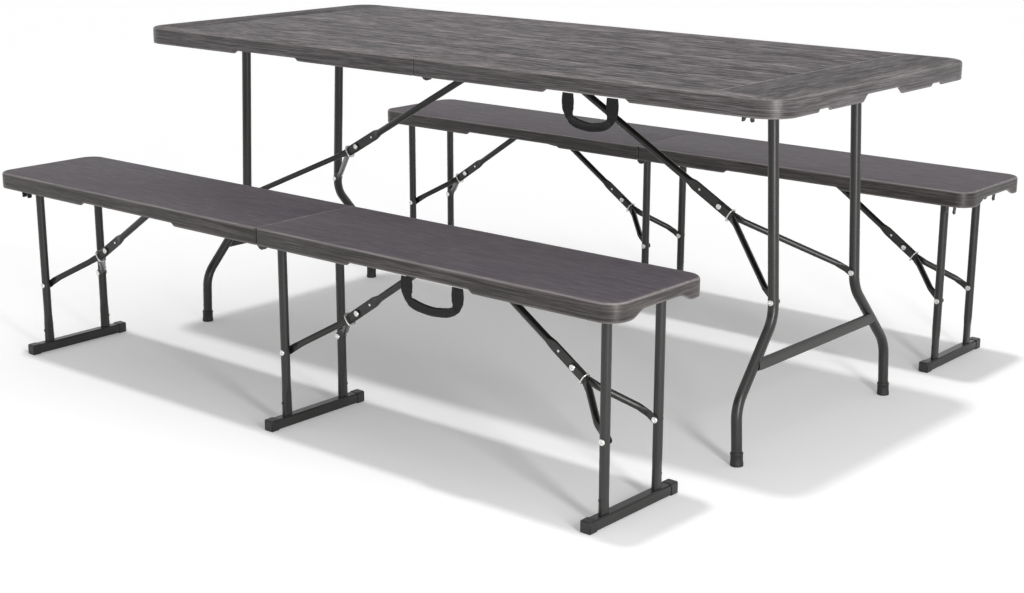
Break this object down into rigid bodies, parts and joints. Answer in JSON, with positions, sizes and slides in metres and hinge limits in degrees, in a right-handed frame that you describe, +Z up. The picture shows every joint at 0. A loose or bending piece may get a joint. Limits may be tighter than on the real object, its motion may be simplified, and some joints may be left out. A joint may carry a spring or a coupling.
{
  "type": "folding garden table with benches",
  "caption": "Fold-in-half moulded garden table with two matching benches, each on folding steel leg sets with locking braces and a webbing carry handle.",
  "frame": {"origin": "middle of the whole set's box on the ground, close under the middle of the table", "axes": "+X along the table and benches, +Y from the front bench to the back bench, +Z up"},
  "size_m": [1.88, 1.5514, 0.745],
  "materials": {
    "top": "satin moulded wood grain",
    "steel": "semi-gloss powder coat",
    "zinc": "bright zinc plate",
    "cap": "matt",
    "clip": "satin",
    "webbing": "woven"
  },
  "bodies": {
    "table_left_half": {"table_top_left": "top", "table_frame_left": "steel", "table_hinge_pin_front": "zinc", "table_hinge_pin_back": "zinc"},
    "table_right_half": {"table_top_right": "top", "table_frame_right": "steel", "table_clip_front": "clip", "table_clip_back": "clip"},
    "table_handle": {"table_carry_handle": "webbing"},
    "table_left_legs": {"table_legs_left": "steel", "table_foot_cap_left_front": "cap", "table_foot_cap_left_back": "cap"},
    "table_left_upper": {"table_brace_upper_left": "steel"},
    "table_left_fork": {"table_brace_fork_left": "steel"},
    "table_left_ring": {"table_lock_ring_left": "zinc"},
    "table_right_legs": {"table_legs_right": "steel", "table_foot_cap_right_front": "cap", "table_foot_cap_right_back": "cap"},
    "table_right_upper": {"table_brace_upper_right": "steel"},
    "table_right_fork": {"table_brace_fork_right": "steel"},
    "table_right_ring": {"table_lock_ring_right": "zinc"},
    "bench_front_left_half": {"bench_front_top_left": "top", "bench_front_frame_left": "steel", "bench_front_clip_front": "clip", "bench_front_clip_back": "clip"},
    "bench_front_right_half": {"bench_front_top_right": "top", "bench_front_frame_right": "steel"},
    "bench_front_handle": {"bench_front_carry_handle": "webbing"},
    "bench_front_left_legs": {"bench_front_legs_left": "steel"},
    "bench_front_left_upper": {"bench_front_brace_upper_left": "steel"},
    "bench_front_left_fork": {"bench_front_brace_fork_left": "steel"},
    "bench_front_left_ring": {"bench_front_lock_ring_left": "zinc"},
    "bench_front_middle_legs": {"bench_front_legs_middle": "steel"},
    "bench_front_middle_upper": {"bench_front_brace_upper_middle": "steel"},
    "bench_front_middle_fork": {"bench_front_brace_fork_middle": "steel"},
    "bench_front_middle_ring": {"bench_front_lock_ring_middle": "zinc"},
    "bench_front_right_legs": {"bench_front_legs_right": "steel"},
    "bench_front_right_upper": {"bench_front_brace_upper_right": "steel"},
    "bench_front_right_fork": {"bench_front_brace_fork_right": "steel"},
    "bench_front_right_ring": {"bench_front_lock_ring_right": "zinc"},
    "bench_back_left_half": {"bench_back_top_left": "top", "bench_back_frame_left": "steel", "bench_back_clip_front": "clip", "bench_back_clip_back": "clip"},
    "bench_back_right_half": {"bench_back_top_right": "top", "bench_back_frame_right": "steel"},
    "bench_back_handle": {"bench_back_carry_handle": "webbing"},
    "bench_back_left_legs": {"bench_back_legs_left": "steel"},
    "bench_back_left_upper": {"bench_back_brace_upper_left": "steel"},
    "bench_back_left_fork": {"bench_back_brace_fork_left": "steel"},
    "bench_back_left_ring": {"bench_back_lock_ring_left": "zinc"},
    "bench_back_middle_legs": {"bench_back_legs_middle": "steel"},
    "bench_back_middle_upper": {"bench_back_brace_upper_middle": "steel"},
    "bench_back_middle_fork": {"bench_back_brace_fork_middle": "steel"},
    "bench_back_middle_ring": {"bench_back_lock_ring_middle": "zinc"},
    "bench_back_right_legs": {"bench_back_legs_right": "steel"},
    "bench_back_right_upper": {"bench_back_brace_upper_right": "steel"},
    "bench_back_right_fork": {"bench_back_brace_fork_right": "steel"},
    "bench_back_right_ring": {"bench_back_lock_ring_right": "zinc"}
  },
  "joints": [
    {"name": "table_fold", "type": "hinge", "parent": "table_left_half", "child": "table_right_half", "pos_m": [0.04, -0.0035, 0.70485], "axis": [0, 1, 0], "range_deg": [0, 90]},
    {"name": "table_handle_swing", "type": "hinge", "parent": "table_right_half", "child": "table_handle", "pos_m": [0.51125, -0.3815, 0.7098], "axis": [-1, 0, 0], "range_deg": [0, 90]},
    {"name": "table_left_legs_fold", "type": "hinge", "parent": "table_left_half", "child": "table_left_legs", "pos_m": [-0.734, -0.0035, 0.7187], "axis": [0, -1, 0], "range_deg": [0, 92.7]},
    {"name": "table_left_upper_turn", "type": "hinge", "parent": "table_left_half", "child": "table_left_upper", "pos_m": [-0.004, -0.0035, 0.7263], "axis": [0, 1, 0], "range_deg": [0, 29.21]},
    {"name": "table_left_fork_turn", "type": "hinge", "parent": "table_left_upper", "child": "table_left_fork", "pos_m": [-0.51542, -0.0035, 0.4375], "axis": [0, -1, 0], "range_deg": [0, 178.69]},
    {"name": "table_left_ring_slide", "type": "slide", "parent": "table_left_upper", "child": "table_left_ring", "axis": [0.8708, 0, 0.4917], "range_m": [0, 0.22]},
    {"name": "table_right_legs_fold", "type": "hinge", "parent": "table_right_half", "child": "table_right_legs", "pos_m": [0.79, -0.0035, 0.7187], "axis": [0, 1, 0], "range_deg": [0, 92.7]},
    {"name": "table_right_upper_turn", "type": "hinge", "parent": "table_right_half", "child": "table_right_upper", "pos_m": [0.06, -0.0035, 0.7263], "axis": [0, -1, 0], "range_deg": [0, 29.21]},
    {"name": "table_right_fork_turn", "type": "hinge", "parent": "table_right_upper", "child": "table_right_fork", "pos_m": [0.57142, -0.0035, 0.4375], "axis": [0, 1, 0], "range_deg": [0, 178.69]},
    {"name": "table_right_ring_slide", "type": "slide", "parent": "table_right_upper", "child": "table_right_ring", "axis": [-0.8708, 0, 0.4917], "range_m": [0, 0.22]},
    {"name": "bench_front_slide", "type": "slide", "parent": "table_left_half", "child": "bench_front_left_half", "axis": [0, -1, 0], "range_m": [0, 0.3]},
    {"name": "bench_front_fold", "type": "hinge", "parent": "bench_front_left_half", "child": "bench_front_right_half", "pos_m": [-0.035, -0.6285, 0.39585], "axis": [0, 1, 0], "range_deg": [0, 90]},
    {"name": "bench_front_handle_swing", "type": "hinge", "parent": "bench_front_right_half", "child": "bench_front_handle", "pos_m": [0.44625, -0.7665, 0.4008], "axis": [-1, 0, 0], "range_deg": [0, 90]},
    {"name": "bench_front_left_legs_fold", "type": "hinge", "parent": "bench_front_left_half", "child": "bench_front_left_legs", "pos_m": [-0.856, -0.6285, 0.4085], "axis": [0, -1, 0], "range_deg": [0, 90]},
    {"name": "bench_front_left_upper_turn", "type": "hinge", "parent": "bench_front_left_half", "child": "bench_front_left_upper", "pos_m": [-0.482, -0.6285, 0.4125], "axis": [0, 1, 0], "range_deg": [0, 34.12]},
    {"name": "bench_front_left_fork_turn", "type": "hinge", "parent": "bench_front_left_upper", "child": "bench_front_left_fork", "pos_m": [-0.72098, -0.6285, 0.25116], "axis": [0, -1, 0], "range_deg": [0, 178.52]},
    {"name": "bench_front_left_ring_slide", "type": "slide", "parent": "bench_front_left_upper", "child": "bench_front_left_ring", "axis": [0.8288, 0, 0.5595], "range_m": [0, 0.22]},
    {"name": "bench_front_middle_legs_fold", "type": "hinge", "parent": "bench_front_right_half", "child": "bench_front_middle_legs", "pos_m": [-0.023, -0.6285, 0.4085], "axis": [0, -1, 0], "range_deg": [0, 90]},
    {"name": "bench_front_middle_upper_turn", "type": "hinge", "parent": "bench_front_right_half", "child": "bench_front_middle_upper", "pos_m": [0.351, -0.6285, 0.4125], "axis": [0, 1, 0], "range_deg": [0, 34.12]},
    {"name": "bench_front_middle_fork_turn", "type": "hinge", "parent": "bench_front_middle_upper", "child": "bench_front_middle_fork", "pos_m": [0.11202, -0.6285, 0.25116], "axis": [0, -1, 0], "range_deg": [0, 178.52]},
    {"name": "bench_front_middle_ring_slide", "type": "slide", "parent": "bench_front_middle_upper", "child": "bench_front_middle_ring", "axis": [0.8288, 0, 0.5595], "range_m": [0, 0.22]},
    {"name": "bench_front_right_legs_fold", "type": "hinge", "parent": "bench_front_right_half", "child": "bench_front_right_legs", "pos_m": [0.809, -0.6285, 0.4085], "axis": [0, 1, 0], "range_deg": [0, 90]},
    {"name": "bench_front_right_upper_turn", "type": "hinge", "parent": "bench_front_right_half", "child": "bench_front_right_upper", "pos_m": [0.435, -0.6285, 0.4125], "axis": [0, -1, 0], "range_deg": [0, 34.12]},
    {"name": "bench_front_right_fork_turn", "type": "hinge", "parent": "bench_front_right_upper", "child": "bench_front_right_fork", "pos_m": [0.67398, -0.6285, 0.25116], "axis": [0, 1, 0], "range_deg": [0, 178.52]},
    {"name": "bench_front_right_ring_slide", "type": "slide", "parent": "bench_front_right_upper", "child": "bench_front_right_ring", "axis": [-0.8288, 0, 0.5595], "range_m": [0, 0.22]},
    {"name": "bench_back_slide", "type": "slide", "parent": "table_left_half", "child": "bench_back_left_half", "axis": [0, 1, 0], "range_m": [0, 0.3]},
    {"name": "bench_back_fold", "type": "hinge", "parent": "bench_back_left_half", "child": "bench_back_right_half", "pos_m": [-0.005, 0.6285, 0.39585], "axis": [0, -1, 0], "range_deg": [0, 90]},
    {"name": "bench_back_handle_swing", "type": "hinge", "parent": "bench_back_right_half", "child": "bench_back_handle", "pos_m": [-0.48625, 0.7665, 0.4008], "axis": [1, 0, 0], "range_deg": [0, 90]},
    {"name": "bench_back_left_legs_fold", "type": "hinge", "parent": "bench_back_left_half", "child": "bench_back_left_legs", "pos_m": [0.816, 0.6285, 0.4085], "axis": [0, 1, 0], "range_deg": [0, 90]},
    {"name": "bench_back_left_upper_turn", "type": "hinge", "parent": "bench_back_left_half", "child": "bench_back_left_upper", "pos_m": [0.442, 0.6285, 0.4125], "axis": [0, -1, 0], "range_deg": [0, 34.12]},
    {"name": "bench_back_left_fork_turn", "type": "hinge", "parent": "bench_back_left_upper", "child": "bench_back_left_fork", "pos_m": [0.68098, 0.6285, 0.25116], "axis": [0, 1, 0], "range_deg": [0, 178.52]},
    {"name": "bench_back_left_ring_slide", "type": "slide", "parent": "bench_back_left_upper", "child": "bench_back_left_ring", "axis": [-0.8288, 0, 0.5595], "range_m": [0, 0.22]},
    {"name": "bench_back_middle_legs_fold", "type": "hinge", "parent": "bench_back_right_half", "child": "bench_back_middle_legs", "pos_m": [-0.017, 0.6285, 0.4085], "axis": [0, 1, 0], "range_deg": [0, 90]},
    {"name": "bench_back_middle_upper_turn", "type": "hinge", "parent": "bench_back_right_half", "child": "bench_back_middle_upper", "pos_m": [-0.391, 0.6285, 0.4125], "axis": [0, -1, 0], "range_deg": [0, 34.12]},
    {"name": "bench_back_middle_fork_turn", "type": "hinge", "parent": "bench_back_middle_upper", "child": "bench_back_middle_fork", "pos_m": [-0.15202, 0.6285, 0.25116], "axis": [0, 1, 0], "range_deg": [0, 178.52]},
    {"name": "bench_back_middle_ring_slide", "type": "slide", "parent": "bench_back_middle_upper", "child": "bench_back_middle_ring", "axis": [-0.8288, 0, 0.5595], "range_m": [0, 0.22]},
    {"name": "bench_back_right_legs_fold", "type": "hinge", "parent": "bench_back_right_half", "child": "bench_back_right_legs", "pos_m": [-0.849, 0.6285, 0.4085], "axis": [0, -1, 0], "range_deg": [0, 90]},
    {"name": "bench_back_right_upper_turn", "type": "hinge", "parent": "bench_back_right_half", "child": "bench_back_right_upper", "pos_m": [-0.475, 0.6285, 0.4125], "axis": [0, 1, 0], "range_deg": [0, 34.12]},
    {"name": "bench_back_right_fork_turn", "type": "hinge", "parent": "bench_back_right_upper", "child": "bench_back_right_fork", "pos_m": [-0.71398, 0.6285, 0.25116], "axis": [0, -1, 0], "range_deg": [0, 178.52]},
    {"name": "bench_back_right_ring_slide", "type": "slide", "parent": "bench_back_right_upper", "child": "bench_back_right_ring", "axis": [0.8288, 0, 0.5595], "range_m": [0, 0.22]}
  ],
  "couplings": [
    {"joint": "table_left_upper_turn", "follows": "table_left_legs_fold", "ratio": 0.3151},
    {"joint": "table_left_fork_turn", "follows": "table_left_legs_fold", "ratio": 1.9276},
    {"joint": "table_left_ring_slide", "follows": "table_left_legs_fold", "m_per_rad": 0.13598},
    {"joint": "table_right_upper_turn", "follows": "table_right_legs_fold", "ratio": 0.3151},
    {"joint": "table_right_fork_turn", "follows": "table_right_legs_fold", "ratio": 1.9276},
    {"joint": "table_right_ring_slide", "follows": "table_right_legs_fold", "m_per_rad": 0.13598},
    {"joint": "bench_front_left_upper_turn", "follows": "bench_front_left_legs_fold", "ratio": 0.37916},
    {"joint": "bench_front_left_fork_turn", "follows": "bench_front_left_legs_fold", "ratio": 1.9835},
    {"joint": "bench_front_left_ring_slide", "follows": "bench_front_left_legs_fold", "m_per_rad": 0.14006},
    {"joint": "bench_front_middle_upper_turn", "follows": "bench_front_middle_legs_fold", "ratio": 0.37916},
    {"joint": "bench_front_middle_fork_turn", "follows": "bench_front_middle_legs_fold", "ratio": 1.9835},
    {"joint": "bench_front_middle_ring_slide", "follows": "bench_front_middle_legs_fold", "m_per_rad": 0.14006},
    {"joint": "bench_front_right_upper_turn", "follows": "bench_front_right_legs_fold", "ratio": 0.37916},
    {"joint": "bench_front_right_fork_turn", "follows": "bench_front_right_legs_fold", "ratio": 1.9835},
    {"joint": "bench_front_right_ring_slide", "follows": "bench_front_right_legs_fold", "m_per_rad": 0.14006},
    {"joint": "bench_back_left_upper_turn", "follows": "bench_back_left_legs_fold", "ratio": 0.37916},
    {"joint": "bench_back_left_fork_turn", "follows": "bench_back_left_legs_fold", "ratio": 1.9835},
    {"joint": "bench_back_left_ring_slide", "follows": "bench_back_left_legs_fold", "m_per_rad": 0.14006},
    {"joint": "bench_back_middle_upper_turn", "follows": "bench_back_middle_legs_fold", "ratio": 0.37916},
    {"joint": "bench_back_middle_fork_turn", "follows": "bench_back_middle_legs_fold", "ratio": 1.9835},
    {"joint": "bench_back_middle_ring_slide", "follows": "bench_back_middle_legs_fold", "m_per_rad": 0.14006},
    {"joint": "bench_back_right_upper_turn", "follows": "bench_back_right_legs_fold", "ratio": 0.37916},
    {"joint": "bench_back_right_fork_turn", "follows": "bench_back_right_legs_fold", "ratio": 1.9835},
    {"joint": "bench_back_right_ring_slide", "follows": "bench_back_right_legs_fold", "m_per_rad": 0.14006}
  ]
}
